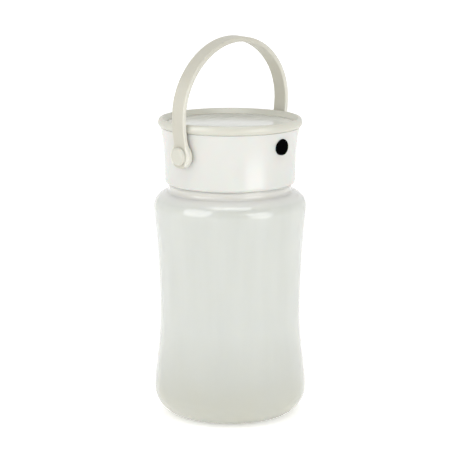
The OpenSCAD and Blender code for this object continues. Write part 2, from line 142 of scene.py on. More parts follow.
# bail
STUD_LOW, STUD_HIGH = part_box("right_stud")
PIVOT_Z = (STUD_LOW.z + STUD_HIGH.z) / 2
STRAP_W = 10.2 * MM
STRAP_T = 3.2 * MM
STRAP_EDGE_R = 0.7 * MM
BAIL_HALF = size_of("handle", 1, "x") - STRAP_T / 2 - 0.35 * MM
ARCH_Z = 203.4 * MM
CROWN_Z = 248.0 * MM
BAIL_LEAN = radians(2.8)
EYELET_R = 8.1 * MM
EYELET_X = 44.5 * MM
EYELET_T = 4.0 * MM
EYELET_FILLET_R = 6.0 * MM
FLARE_FROM = PIVOT_Z + 4.2 * MM
ARCH_NARROWING = 0.025
STUD_R = 2.5 * MM
STUD_HEAD_R = STUD_HIGH.z - PIVOT_Z
STUD_END_X = STUD_LOW.x
STUD_HEAD_X = EYELET_X + EYELET_T + 0.1 * MM
STUD_FACE_R = 4.7 * MM
STUD_TIP_X = STUD_HIGH.x
STUD_RIM_T = 1.1 * MM
EYELET_BORE_R = STUD_R + 0.06 * MM
EYELET_CUT_FROM = EYELET_X - 1.5 * MM
EYELET_CUT_TO = EYELET_X + EYELET_T + 0.5 * MM

# bosses around the studs' shanks, outside and inside the cap's wall
BOSS_BORE_R = STUD_R + 0.02 * MM
BOSS_R = 4.5 * MM
BOSS_FROM_X = 41.3 * MM
BOSS_TO_X = EYELET_X - 0.2 * MM
INNER_BOSS_R = 5.5 * MM
INNER_BOSS_FROM_X = 40.3 * MM
INNER_BOSS_TO_X = 41.7 * MM

# button
BUTTON_Z = (size_of("power_button", 0, "z") + size_of("power_button", 1, "z")) / 2
BUTTON_R = 5.2 * MM
BUTTON_FACE = -size_of("power_button", 0, "y")
BUTTON_FLANGE_R = size_of("power_button", 1, "x")
BUTTON_FLANGE_Y = 40.2 * MM
BUTTON_FLANGE_T = 1.0 * MM
BUTTON_STEM_R = 2.0 * MM
BUTTON_HOLE_R = BUTTON_R + 0.05 * MM
BUTTON_HOLE_REACH = 3.0 * MM
BUTTON_END_Y = -size_of("power_button", 1, "y")

ROUND = 192
FINE_ROUND = 96
COARSE_ROUND = 64


# ---------------------------------------------------------------- outlines

def spaced(start, end, steps):
    """Evenly spaced values from start to end."""
    return [start + (end - start) * i / steps for i in range(steps + 1)]


def arc(centre_r, centre_z, radius, start, end, steps):
    """Points of an arc in the (r, z) plane, angles in degrees."""
    angles = [radians(angle) for angle in spaced(start, end, steps)]
    return [(centre_r + radius * cos(angle), centre_z + radius * sin(angle)) for angle in angles]


def rounded(outline, closed=False, steps=5):
    """Plain points of an outline of (r, z) points, or (r, z, radius) where a corner gets a fillet.

    A fillet takes at most a fixed share of the sides beside it, so two of them never overlap.
    """
    share = 0.48
    points = []
    last = len(outline) - 1
    for i, corner in enumerate(outline):
        here = Vector(corner[:2])
        radius = corner[2] if len(corner) > 2 else 0
        if radius == 0 or (not closed and i in (0, last)):
            points.append(tuple(here))
            continue
        back = Vector(outline[i - 1][:2]) - here
        on = Vector(outline[(i + 1) % len(outline)][:2]) - here
        half = back.angle(on) / 2
        reach = min(radius / tan(half), back.length * share, on.length * share)
        centre = here + (back.normalized() + on.normalized()).normalized() * reach / cos(half)
        first = here + back.normalized() * reach - centre
        turn = first.angle_signed(here + on.normalized() * reach - centre)
        for k in range(steps + 1):
            points.append(tuple(centre + Matrix.Rotation(-turn * k / steps, 2) @ first))
    return points


SHOULDER_SLOPE = atan((SHOULDER_R - WAIST_R) * UPPER_POWER / (SHOULDER_Z - WAIST_Z))
SHOULDER_ARC_X = SHOULDER_R - SHOULDER_ARC_R * cos(SHOULDER_SLOPE)
SHOULDER_ARC_Z = SHOULDER_Z + SHOULDER_ARC_R * sin(SHOULDER_SLOPE)


def bottle_skin(inset, steps, shoulder_end=90):
    """The bottle's skin from base corner to shoulder top, moved inwards by inset."""
    points = arc(BASE_R - BASE_CORNER_R, BASE_CORNER_R, BASE_CORNER_R - inset, -90, 0, 24)
    for i in range(1, steps + 1):
        t = 1 - i / steps
        radius = WAIST_R + (BASE_R - WAIST_R) * t ** LOWER_POWER * (1 + LOWER_POWER * (1 - t))
        points.append((radius - inset, WAIST_Z - t * (WAIST_Z - BASE_CORNER_R)))
    for i in range(1, steps + 1):
        t = i / steps
        radius = WAIST_R + (SHOULDER_R - WAIST_R) * t ** UPPER_POWER
        points.append((radius - inset, WAIST_Z + t * (SHOULDER_Z - WAIST_Z)))
    return points + arc(SHOULDER_ARC_X, SHOULDER_ARC_Z, SHOULDER_ARC_R - inset, 0, shoulder_end, 20)


def collar_fillet():
    """Angle at which the shoulder's arc meets the fillet, and the fillet's centre beside the collar."""
    centre_r = COLLAR_R + COLLAR_FILLET_R
    run = centre_r - SHOULDER_ARC_X
    rise = sqrt((SHOULDER_ARC_R + COLLAR_FILLET_R) ** 2 - run ** 2)
    return degrees(atan2(rise, run)), centre_r, SHOULDER_ARC_Z + rise


def cap_radius(z):
    """The cap's outer radius at height z."""
    return CAP_R + (SEAM_R - CAP_R) * max(0, (z - FLARE_Z) / (SEAM_Z - FLARE_Z)) ** FLARE_POWER


# ---------------------------------------------------------------- mesh helpers

def to_object(name, mesh, sharp=40):
    """A bmesh as a smooth-shaded object with consistent normals; edges over sharp degrees stay crisp."""
    bmesh.ops.recalc_face_normals(mesh, faces=mesh.faces)
    data = bpy.data.meshes.new(name)
    mesh.to_mesh(data)
    mesh.free()
    data.shade_smooth()
    data.set_sharp_from_angle(angle=radians(sharp))
    piece = bpy.data.objects.new(name, data)
    bpy.context.scene.collection.objects.link(piece)
    return piece


def add_lathe(mesh, profile, closed=False, segments=ROUND):
    """Turns an outline of (r, z) points about Z. A point on the axis closes the form there."""
    on_axis = 1e-7
    rings = []
    for r, z in profile:
        if r < on_axis:
            rings.append([mesh.verts.new((0, 0, z))])
            continue
        turns = [2 * pi * k / segments for k in range(segments)]
        rings.append([mesh.verts.new((r * cos(t), r * sin(t), z)) for t in turns])
    pairs = list(zip(rings, rings[1:]))
    if closed:
        pairs.append((rings[-1], rings[0]))
    for low, high in pairs:
        for k in range(segments):
            corners = [low[k % len(low)], low[(k + 1) % len(low)]]
            corners += [high[(k + 1) % len(high)], high[k % len(high)]]
            corners = list(dict.fromkeys(corners))
            if len(corners) > 2:
                mesh.faces.new(corners)


def lathe(name, profile, closed=False, segments=ROUND, sharp=40):
    """An outline turned about Z, as an object."""
    mesh = bmesh.new()
    add_lathe(mesh, profile, closed, segments)
    return to_object(name, mesh, sharp)


def add_loft(mesh, sections):
    """Skins closed sections of equal point count and closes both ends."""
    loops = [[mesh.verts.new(point) for point in section] for section in sections]
    count = len(loops[0])
    for first, second in zip(loops, loops[1:]):
        for k in range(count):
            mesh.faces.new([first[k], first[(k + 1) % count], second[(k + 1) % count], second[k]])
    mesh.faces.new(loops[0])
    mesh.faces.new(list(reversed(loops[-1])))


def rounded_box(width, height, radius, steps=4):
    """Points of a rectangle with rounded corners, centred on the origin."""
    share = 0.98
    radius = min(radius, width / 2 * share, height / 2 * share)
    points = []
    for corner, (sx, sy) in enumerate(((1, 1), (-1, 1), (-1, -1), (1, -1))):
        centre = (sx * (width / 2 - radius), sy * (height / 2 - radius))
        points += arc(*centre, radius, 90 * corner, 90 * corner + 90, steps)
    return points


def add_thread_arc(mesh, inner, outer, span, turn, z):
    """A rounded, climbing thread ridge with tapered ends, centred on azimuth turn at height z."""
    tip = 0.55
    tip_steps = 0.4
    taper_steps = 2
    steps = max(6, int(span / radians(4)))
    sections = []
    for i in range(steps + 1):
        across = span * (i / steps - 0.5)
        climb = THREAD_LEAD * across / (2 * pi)
        from_end = min(i, steps - i)
        full = min(1, (from_end + tip_steps) / taper_steps)
        azimuth = turn + across
        section = []
        for x, y in rounded_box(outer - inner, THREAD_T * (tip + (1 - tip) * full), THREAD_SOFT):
            r = (inner + outer) / 2 + x
            section.append((r * cos(azimuth), r * sin(azimuth), z + climb + y))
        sections.append(section)
    add_loft(mesh, sections)


def join(mesh, extra):
    """Moves the contents of bmesh extra into mesh."""
    data = bpy.data.meshes.new("joined")
    extra.to_mesh(data)
    extra.free()
    mesh.from_mesh(data)
    bpy.data.meshes.remove(data)


def on_pivot(side):
    """Places a form turned about Z on the bail's axis: side is 1 for the right and -1 for the left."""
    turn = Matrix.Rotation(0 if side > 0 else pi, 4, "Z") @ Matrix.Rotation(pi / 2, 4, "Y")
    return Matrix.Translation((0, 0, PIVOT_Z)) @ turn


def on_button_axis():
    """Places a form turned about Z on the button's axis, with its top to the front."""
    return Matrix.Translation((0, 0, BUTTON_Z)) @ Matrix.Rotation(pi / 2, 4, "X")


def apply_modifiers(piece):
    """Bakes a piece's modifiers into its mesh."""
    graph = bpy.context.evaluated_depsgraph_get()
    data = bpy.data.meshes.new_from_object(piece.evaluated_get(graph))
    piece.modifiers.clear()
    old = piece.data
    piece.data = data
    bpy.data.meshes.remove(old)


def cut(piece, cutter):
    """Takes cutter out of piece."""
    boolean = piece.modifiers.new("cut", "BOOLEAN")
    boolean.operation = "DIFFERENCE"
    boolean.solver = "EXACT"
    boolean.object = cutter
    apply_modifiers(piece)
    bpy.data.objects.remove(cutter)


# ---------------------------------------------------------------- pieces

def make_bottle():
    """Hollow bottle: dished foot, waist, shoulder, and a neck with a bead and its thread ridges."""
    meet, fillet_r, fillet_z = collar_fillet()
    outer = bottle_skin(0, 48, meet)
    fillet = arc(fillet_r, fillet_z, COLLAR_FILLET_R, 180 + meet, 180, 10)
    inner = bottle_skin(BOTTLE_WALL, 40)
    top = inner[-1][1]
    bead_low = BEAD_Z - BEAD_T / 2
    bead_high = BEAD_Z + BEAD_T / 2
    foot = rounded([
        (0, FOOT_RISE), (FOOT_DISH_R, FOOT_RISE, FOOT_DISH_SOFT),
        (FOOT_R, 0, 1.2 * MM), (FOOT_R + FOOT_FLAT, 0),
    ])
    neck = rounded([
        fillet[-1], (COLLAR_R, bead_low, 0.1 * MM), (BEAD_R, bead_low, 0.3 * MM),
        (BEAD_R, bead_high, 0.3 * MM), (COLLAR_R, bead_high, 0.3 * MM), (COLLAR_R, COLLAR_TOP, 0.2 * MM),
        (NECK_R, COLLAR_TOP, 0.4 * MM), (NECK_R, NECK_TOP, 0.6 * MM),
        (NECK_R - NECK_WALL, NECK_TOP, 0.6 * MM), (NECK_R - NECK_WALL, top, 2 * MM), inner[-1],
    ])
    inside = [point for point in reversed(inner) if point[0] > FOOT_R + 1 * MM]
    floor = rounded([
        inside[-1], (FOOT_R, FLOOR_T, 1 * MM), (FOOT_DISH_R, FOOT_RISE + FLOOR_T, FOOT_DISH_SOFT),
        (0, FOOT_RISE + FLOOR_T),
    ])
    mesh = bmesh.new()
    add_lathe(mesh, foot[:-1] + outer + fillet[1:-1] + neck + inside[1:-1] + floor)
    for start in range(THREAD_STARTS):
        turn = 2 * pi * start / THREAD_STARTS
        add_thread_arc(mesh, NECK_R - THREAD_SINK, NECK_R + THREAD_H, RAMP_SPAN, turn, THREAD_Z)
    return to_object("bottle_body", mesh, 60)


def make_cap():
    """Moulded cap: rounded edge, flared wall, deck with a lamp opening, and posts, bosses and lugs."""
    wall_heights = spaced(CAP_BOTTOM + CAP_CORNER_R, SEAM_Z - 0.5 * MM, 44)[1:]
    wall = [(cap_radius(z), z) for z in wall_heights]
    liner = [(cap_radius(z) - CAP_WALL, z) for z in spaced(SHELF_BOTTOM, DECK_TOP, 16)]
    groove = TONGUE_T / 2 + 0.05 * MM
    groove_z = SEAM_Z - TONGUE_H - 0.1 * MM
    outline = arc(CAP_R - CAP_CORNER_R, CAP_BOTTOM + CAP_CORNER_R, CAP_CORNER_R, -90, 0, 12) + wall
    outline += rounded([
        wall[-1], (SEAM_R, SEAM_Z, 0.35 * MM), (TONGUE_R + groove, SEAM_Z),
    ])[1:]
    outline += [
        (TONGUE_R + groove, groove_z), (TONGUE_R - groove, groove_z),
        (TONGUE_R - groove, SEAM_Z), (SHELF_R, SEAM_Z), (SHELF_R, SHELF_BOTTOM),
    ]
    outline += liner
    outline += [
        (DECK_HOLE_R, DECK_TOP), (DECK_HOLE_R, DECK_Z), (SOCKET_R, DECK_Z),
        (SOCKET_R, CAP_BOTTOM + 1 * MM), (SOCKET_R + 0.6 * MM, CAP_BOTTOM),
    ]
    cap = lathe("cap_body", outline, closed=True)
    near = BUTTON_FLANGE_Y - BUTTON_HOLE_REACH
    far = BUTTON_FACE + BUTTON_HOLE_REACH
    hole = [(0, near), (BUTTON_HOLE_R, near), (BUTTON_HOLE_R, far), (0, far)]
    button_hole = lathe("button_hole", hole, segments=FINE_ROUND)
    button_hole.data.transform(on_button_axis())
    cut(cap, button_hole)
    inside = bmesh.new()
    inside.from_mesh(cap.data)
    for start in range(THREAD_STARTS):
        turn = LUG_TURN + 2 * pi * start / THREAD_STARTS
        add_thread_arc(inside, LUG_INNER_R, SOCKET_R + THREAD_SINK, LUG_SPAN, turn, LUG_Z)
    add_pivot_bosses(inside)
    add_board_posts(inside)
    piece = to_object("cap_shell_body", inside, 35)
    bpy.data.objects.remove(cap)
    return piece


def add_pivot_bosses(mesh):
    """A round tube outside and inside the wall at each pivot, around the stud's shank."""
    outside = [(BOSS_BORE_R, BOSS_FROM_X), (BOSS_R, BOSS_FROM_X),
               (BOSS_R, BOSS_TO_X, 0.4 * MM), (BOSS_BORE_R, BOSS_TO_X)]
    inside = [(BOSS_BORE_R, INNER_BOSS_FROM_X), (INNER_BOSS_R, INNER_BOSS_FROM_X),
              (INNER_BOSS_R, INNER_BOSS_TO_X), (BOSS_BORE_R, INNER_BOSS_TO_X)]
    for outline in (outside, inside):
        for side in (1, -1):
            tube = bmesh.new()
            add_lathe(tube, rounded(outline, closed=True), closed=True, segments=COARSE_ROUND)
            bmesh.ops.transform(tube, matrix=on_pivot(side), verts=tube.verts)
            join(mesh, tube)


def add_board_posts(mesh):
    """Two slotted posts on the deck that hold the control board's edges."""
    low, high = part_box("control_board")
    back = low.y - POST_BACK
    front = back + POST_DEPTH
    slot_back = low.y - SLOT_GAP
    slot_front = high.y + SLOT_GAP
    for side in (-1, 1):
        near = side * (high.x - POST_GRIP)
        edge = side * (high.x + SLOT_GAP)
        far = side * (high.x + POST_SIDE)
        outline = [(near, back), (far, back), (far, front), (near, front),
                   (near, slot_front), (edge, slot_front), (edge, slot_back), (near, slot_back)]
        heights = (DECK_TOP - 0.2 * MM, DECK_TOP + POST_H)
        add_loft(mesh, [[(x, y, z) for x, y in outline] for z in heights])


def make_rim():
    """Cream ring: bulged outside, rounded lip, sloped inner face, window pocket and tongue."""
    low_r = SEAM_R + 0.1 * MM
    pocket_r = WINDOW_R + 0.1 * MM
    outside = []
    for t in spaced(0, 1, 14)[2:]:
        outside.append((low_r + (RIM_R - low_r) * sin(pi / 2 * t), SEAM_Z + (RIM_WIDE_Z - SEAM_Z) * t))
    crown = []
    for turn in spaced(0, pi / 2, 20)[1:]:
        crown.append((LIP_R + (RIM_R - LIP_R) * cos(turn), RIM_WIDE_Z + (LIP_Z - RIM_WIDE_Z) * sin(turn)))
    foot = rounded([
        (TONGUE_R + TONGUE_T / 2, SEAM_Z), (SEAM_R - SEAM_GAP_D, SEAM_Z),
        (SEAM_R - SEAM_GAP_D, SEAM_Z + SEAM_GAP_T), (low_r, SEAM_Z + SEAM_GAP_T, 0.25 * MM), outside[0],
    ])
    inner = rounded([
        crown[-1], (LIP_R - 0.9 * MM, LIP_Z - 0.3 * MM, 0.6 * MM),
        (SIGHT_R, WINDOW_TOP + 0.5 * MM, 0.3 * MM),
        (SIGHT_R, WINDOW_TOP), (pocket_r, WINDOW_TOP), (pocket_r, SEAM_Z),
        (TONGUE_R - TONGUE_T / 2, SEAM_Z), (TONGUE_R - TONGUE_T / 2, SEAM_Z - TONGUE_H),
        (TONGUE_R + TONGUE_T / 2, SEAM_Z - TONGUE_H),
    ])
    return lathe("rim_ring_body", foot + outside[1:] + crown[:-1] + inner, closed=True)


def make_window():
    """Clear round cover with softened edges."""
    edge = 0.25 * MM
    return lathe("window_pane", rounded([
        (0, WINDOW_BOTTOM), (WINDOW_R, WINDOW_BOTTOM, edge),
        (WINDOW_R, WINDOW_TOP, edge), (0, WINDOW_TOP),
    ], steps=4))


def make_button():
    """Domed rubber button with a soft edge, a retaining flange and a stem."""
    flange_back = BUTTON_FLANGE_Y - BUTTON_FLANGE_T
    profile = rounded([
        (0, BUTTON_END_Y), (BUTTON_STEM_R, BUTTON_END_Y, 0.2 * MM), (BUTTON_STEM_R, flange_back),
        (BUTTON_FLANGE_R, flange_back, 0.2 * MM), (BUTTON_FLANGE_R, BUTTON_FLANGE_Y, 0.2 * MM),
        (BUTTON_R, BUTTON_FLANGE_Y), (BUTTON_R, BUTTON_FACE - 0.7 * MM, 0.9 * MM),
        (BUTTON_R * 0.6, BUTTON_FACE, 3 * MM), (0, BUTTON_FACE),
    ], steps=8)
    piece = lathe("button_cap", profile, segments=FINE_ROUND)
    piece.data.transform(on_button_axis())
    return piece


def make_stud(name, side):
    """Stud with a domed head, a stepped rim and a plain shank: side is 1 for the right one, else -1."""
    profile = rounded([
        (0, STUD_END_X), (STUD_R, STUD_END_X, 0.3 * MM), (STUD_R, STUD_HEAD_X),
        (STUD_HEAD_R, STUD_HEAD_X, 0.3 * MM), (STUD_HEAD_R, STUD_HEAD_X + STUD_RIM_T, 0.8 * MM),
        (STUD_FACE_R, STUD_TIP_X - 0.2 * MM, 0.6 * MM), (STUD_FACE_R / 2, STUD_TIP_X, 3 * MM),
        (0, STUD_TIP_X),
    ], steps=6)
    piece = lathe(name, profile, segments=FINE_ROUND)
    piece.data.transform(on_pivot(side))
    return piece


def strap_half_width(d):
    """Half the strap's width at distance d above the pivot: fillets lead from the eyelet's circle."""
    centre_w = STRAP_W / 2 + EYELET_FILLET_R
    centre_d = sqrt((EYELET_R + EYELET_FILLET_R) ** 2 - centre_w ** 2)
    touch_d = centre_d * EYELET_R / (EYELET_R + EYELET_FILLET_R)
    d = max(d, touch_d)
    if d >= centre_d:
        return STRAP_W / 2
    return centre_w - sqrt(EYELET_FILLET_R ** 2 - (d - centre_d) ** 2)


def strap_line(leg_steps, arch_steps):
    """The strap's middle line from the right eyelet over the arch to the left one, as (x, z) points."""
    low_x = EYELET_X + STRAP_T / 2
    leg = []
    for z in spaced(PIVOT_Z + 1 * MM, ARCH_Z, leg_steps)[:-1]:
        t = max(0, (z - FLARE_FROM) / (ARCH_Z - FLARE_FROM))
        leg.append((low_x + (BAIL_HALF - low_x) * t * (2 - t), z))
    arch = []
    for turn in spaced(0, pi, arch_steps):
        x = BAIL_HALF * cos(turn) * (1 - ARCH_NARROWING * sin(turn) ** 2)
        arch.append((x, ARCH_Z + (CROWN_Z - ARCH_Z) * sin(turn)))
    return leg + arch + [(-x, z) for x, z in reversed(leg)]


def add_strap(mesh):
    """The strap's rounded section, swept along its line and widened towards the eyelets."""
    line = strap_line(44, 150)
    sections = []
    for i, (x, z) in enumerate(line):
        before = Vector(line[max(i - 1, 0)])
        after = Vector(line[min(i + 1, len(line) - 1)])
        along = (after - before).normalized()
        half = strap_half_width(z - PIVOT_Z)
        section = []
        for across, out in rounded_box(2 * half, STRAP_T, STRAP_EDGE_R):
            section.append((x + along.y * out, across, z - along.x * out))
        sections.append(section)
    add_loft(mesh, sections)


def add_eyelet(mesh, side):
    """The round end of the strap, with its bore."""
    far_x = EYELET_X + EYELET_T
    ring = [(EYELET_BORE_R, EYELET_X), (EYELET_R, EYELET_X, STRAP_EDGE_R),
            (EYELET_R, far_x, STRAP_EDGE_R), (EYELET_BORE_R, far_x)]
    eyelet = bmesh.new()
    add_lathe(eyelet, rounded(ring, closed=True), closed=True, segments=FINE_ROUND)
    bmesh.ops.transform(eyelet, matrix=on_pivot(side), verts=eyelet.verts)
    join(mesh, eyelet)


def blend_skin(piece):
    """Melts the overlapping parts of a piece into one smooth skin."""
    remesh = piece.modifiers.new("blend", "REMESH")
    remesh.mode = "VOXEL"
    remesh.voxel_size = 0.36 * MM
    smooth = piece.modifiers.new("smooth", "SMOOTH")
    smooth.factor = 0.5
    smooth.iterations = 6
    apply_modifiers(piece)


def cut_pivot_bore(piece, side):
    """Clears the eyelet's bore, which the strap's end and the blending partly fill."""
    outline = [(0, EYELET_CUT_FROM), (EYELET_BORE_R, EYELET_CUT_FROM),
               (EYELET_BORE_R, EYELET_CUT_TO), (0, EYELET_CUT_TO)]
    bore = lathe("bore", outline, segments=COARSE_ROUND)
    bore.data.transform(on_pivot(side))
    cut(piece, bore)


def make_handle():
    """Moulded strap bail: a strap and two eyelets in one skin, leaning forwards about the pivots."""
    mesh = bmesh.new()
    add_strap(mesh)
    for side in (1, -1):
        add_eyelet(mesh, side)
    piece = to_object("bail_strap", mesh)
    blend_skin(piece)
    for side in (1, -1):
        cut_pivot_bore(piece, side)
    piece.data.shade_smooth()
    to_pivot = Matrix.Translation((0, 0, PIVOT_Z))
    piece.data.transform(to_pivot @ Matrix.Rotation(BAIL_LEAN, 4, "X") @ to_pivot.inverted())
    return piece


# ---------------------------------------------------------------- materials

class Finish:
    """A procedural material: one Principled shader and what varies it, in the object's own metres."""

    def __init__(self, name):
        self.material = bpy.data.materials.new(name)
        self.material.use_nodes = True
        self.nodes = self.material.node_tree.nodes
        self.links = self.material.node_tree.links
        self.shader = self.nodes["Principled BSDF"]
        self.place = self.nodes.new("ShaderNodeTexCoord").outputs["Object"]
        self.normal = None

    def set(self, **values):
        """Sets the shader's own values, named as on its sockets."""
        for key, value in values.items():
            self.shader.inputs[key.replace("_", " ").title().replace("Ior", "IOR")].default_value = value

    def stretch(self, x, y, z):
        """Coordinates scaled along each axis."""
        mapping = self.nodes.new("ShaderNodeMapping")
        mapping.inputs["Scale"].default_value = (x, y, z)
        self.links.new(self.place, mapping.inputs["Vector"])
        return mapping.outputs["Vector"]

    def noise(self, size, detail=3, roughness=0.55, where=None):
        """Noise whose features are about size metres across."""
        node = self.nodes.new("ShaderNodeTexNoise")
        node.inputs["Scale"].default_value = 1 / size
        node.inputs["Detail"].default_value = detail
        node.inputs["Roughness"].default_value = roughness
        self.links.new(where or self.place, node.inputs["Vector"])
        return node.outputs["Fac"]

    def ramp(self, value, low, high, start=0.35, end=0.65):
        """Maps value from start..end onto low..high."""
        node = self.nodes.new("ShaderNodeMapRange")
        node.inputs["From Min"].default_value = start
        node.inputs["From Max"].default_value = end
        node.inputs["To Min"].default_value = low
        node.inputs["To Max"].default_value = high
        self.links.new(value, node.inputs["Value"])
        return node.outputs["Result"]

    def mix(self, factor, first, second):
        """A colour between two colours; each is a tuple or a socket."""
        node = self.nodes.new("ShaderNodeMix")
        node.data_type = "RGBA"
        self.links.new(factor, node.inputs["Factor"])
        # a Mix node's colours go in at sockets 6 and 7 and come out at socket 2
        for socket, value in ((node.inputs[6], first), (node.inputs[7], second)):
            if isinstance(value, tuple):
                socket.default_value = (*value, 1)
            else:
                self.links.new(value, socket)
        return node.outputs[2]

    def math(self, operation, first, second=0):
        """One sum on numbers or sockets."""
        node = self.nodes.new("ShaderNodeMath")
        node.operation = operation
        for socket, value in zip(node.inputs, (first, second)):
            if isinstance(value, (int, float)):
                socket.default_value = value
            else:
                self.links.new(value, socket)
        return node.outputs[0]

    def coordinate(self, axis):
        """One of the object's own coordinates, in metres: axis is x, y or z."""
        node = self.nodes.new("ShaderNodeSeparateXYZ")
        self.links.new(self.place, node.inputs[0])
        return node.outputs["xyz".index(axis)]

    def from_axis(self):
        """Distance from the object's own Z axis, in metres."""
        node = self.nodes.new("ShaderNodeVectorMath")
        node.operation = "LENGTH"
        self.links.new(self.stretch(1, 1, 0), node.inputs[0])
        return node.outputs["Value"]

    def edges(self):
        """1 on convex edges, 0 elsewhere."""
        geometry = self.nodes.new("ShaderNodeNewGeometry")
        return self.ramp(geometry.outputs["Pointiness"], 0, 1, 0.6, 0.75)

    def painted_light_strap_sides(self):
        """1 on the strap's two narrow sides, fading near the crown, and 0 on its broad faces, for a
        painted highlight.
        """
        fade_from = 215 * MM
        above_pivot = self.math("SUBTRACT", self.coordinate("z"), PIVOT_Z)
        leaned = self.math("MULTIPLY", above_pivot, sin(BAIL_LEAN))
        across = self.math("ADD", self.math("MULTIPLY", self.coordinate("y"), cos(BAIL_LEAN)), leaned)
        from_middle = self.math("ABSOLUTE", across)
        side = self.ramp(from_middle, 0, 1, STRAP_W / 2 - STRAP_EDGE_R, STRAP_W / 2 - 0.1 * MM)
        return self.math("MULTIPLY", side, self.ramp(self.coordinate("z"), 1, 0, fade_from, CROWN_Z))

    def colour(self, value):
        """Takes the colour from a socket."""
        self.links.new(value, self.shader.inputs["Base Color"])

    def roughness(self, value):
        """Takes the roughness from a socket."""
        self.links.new(value, self.shader.inputs["Roughness"])

    def bump(self, value, depth, strength=1.0):
        """Adds relief depth metres high, on top of any relief added before."""
        node = self.nodes.new("ShaderNodeBump")
        node.inputs["Strength"].default_value = strength
        node.inputs["Distance"].default_value = depth
        self.links.new(value, node.inputs["Height"])
        if self.normal:
            self.links.new(self.normal, node.inputs["Normal"])
        self.normal = node.outputs["Normal"]
        self.links.new(self.normal, self.shader.inputs["Normal"])


def moulded(name, light, dark, rough, grain, relief, wear_and_sheen, wear_and_sheen_mask=Finish.edges):
    """Moulded plastic or rubber: blotchy tone, uneven polish, fine grain, paler rubbed edges; on the
    strap the same paler colour is a painted highlight on its narrow sides.
    """
    finish = Finish(name)
    tone = finish.noise(14 * MM, 4)
    body = finish.mix(finish.ramp(tone, 0, 1, 0.3, 0.7), dark, light)
    # paler colour on the mask: rubbed edges, and on the strap a painted highlight
    finish.colour(finish.mix(wear_and_sheen_mask(finish), body, wear_and_sheen))
    scuffs = finish.noise(3 * MM, 6, 0.65)
    finish.roughness(finish.ramp(scuffs, rough - 0.03, rough + 0.04, 0.3, 0.7))
    finish.bump(finish.noise(12 * MM, 2), relief * 6, 0.15)
    finish.bump(finish.noise(grain, 3), relief, 0.6)
    return finish


def frosted_plastic():
    """Blown bottle wall: milky, with a fine grain, faint upright flow lines and a warmer, darker foot;
    painted shade darkens the lower body, and painted light brightens the shoulder's top and the collar
    under the cap.
    """
    finish = Finish("frosted_plastic")
    finish.set(ior=1.5, subsurface_weight=1.0, subsurface_scale=5 * MM)
    finish.shader.inputs["Subsurface Radius"].default_value = (1.0, 0.95, 0.8)
    flow = finish.noise(9 * MM, 3, 0.5, finish.stretch(1, 1, 0.12))
    body = finish.mix(finish.ramp(flow, 0, 1, 0.3, 0.7), (0.57, 0.583, 0.535), (0.59, 0.603, 0.555))
    height = finish.coordinate("z")
    foot = finish.ramp(height, 1, 0, 4 * MM, 34 * MM)
    blotch = finish.ramp(finish.noise(30 * MM, 2), 0.2, 0.75, 0.35, 0.7)
    # painted shade: the lower body's colour is darkened towards the bottom
    painted_shade_low = finish.ramp(height, 1, 0, 8 * MM, 62 * MM)
    # painted light: the shoulder's top, shaded by the cap, is given a paler colour
    painted_light_shoulder_top = finish.ramp(height, 0, 1, 144 * MM, 148 * MM)
    # painted light: the collar in the cap's shade is given a paler colour, as if lit through the wall
    collar = finish.ramp(height, 0, 1, 150 * MM, 151.6 * MM)
    body = finish.mix(painted_shade_low, body, (0.49, 0.495, 0.445))
    body = finish.mix(painted_light_shoulder_top, body, (0.7, 0.69, 0.64))
    body = finish.mix(collar, body, (0.66, 0.65, 0.6))
    finish.colour(finish.mix(finish.math("MULTIPLY", foot, blotch), body, (0.5, 0.49, 0.4)))
    finish.roughness(finish.ramp(finish.noise(5 * MM, 5, 0.6), 0.06, 0.1))
    finish.bump(flow, 0.1 * MM, 0.06)
    finish.bump(finish.noise(0.5 * MM, 2), 0.002 * MM, 0.5)
    return finish.material


def white_plastic():
    """Glossy cap moulding, slightly translucent."""
    finish = moulded("white_plastic", (0.6, 0.6, 0.567), (0.59, 0.59, 0.557),
                     0.2, 0.5 * MM, 0.004 * MM, (0.65, 0.65, 0.63))
    finish.set(ior=1.5, subsurface_weight=0.3, subsurface_scale=2 * MM)
    return finish.material


def cream_plastic():
    """Satin moulding of the ring and the studs."""
    finish = moulded("cream_plastic", (0.535, 0.53, 0.462), (0.525, 0.52, 0.452),
                     0.34, 0.5 * MM, 0.004 * MM, (0.58, 0.575, 0.52))
    finish.set(ior=1.5, subsurface_weight=0.08, subsurface_scale=1.5 * MM)
    return finish.material


def cream_strap():
    """Soft-touch silicone: matt, finely grained, a little translucent, with a painted highlight that
    makes its narrow sides paler.
    """
    # painted highlight: the paler colour on the strap's narrow sides
    finish = moulded("cream_strap", (0.5, 0.485, 0.415), (0.485, 0.47, 0.4),
                     0.46, 0.28 * MM, 0.012 * MM, (0.63, 0.62, 0.55), Finish.painted_light_strap_sides)
    finish.set(ior=1.43, subsurface_weight=0.25, subsurface_scale=1 * MM)
    finish.shader.inputs["Subsurface Radius"].default_value = (1.0, 0.9, 0.65)
    return finish.material


def clear_cover():
    """Clear cover with fine wipe marks and a little haze, its colour paler towards its edge."""
    finish = Finish("clear_cover")
    finish.set(ior=1.3, transmission_weight=0.35)
    haze = finish.noise(12 * MM, 5, 0.6)
    body = finish.mix(finish.ramp(haze, 0, 1, 0.4, 0.7), (0.85, 0.86, 0.81), (0.81, 0.82, 0.77))
    edge = finish.ramp(finish.from_axis(), 0, 1, 24 * MM, 40 * MM)
    finish.colour(finish.mix(edge, body, (0.97, 0.97, 0.91)))
    wipes = finish.noise(2.5 * MM, 4, 0.7, finish.stretch(0.2, 1, 1))
    finish.roughness(finish.ramp(wipes, 0.12, 0.2))
    finish.bump(wipes, 0.002 * MM, 0.3)
    return finish.material


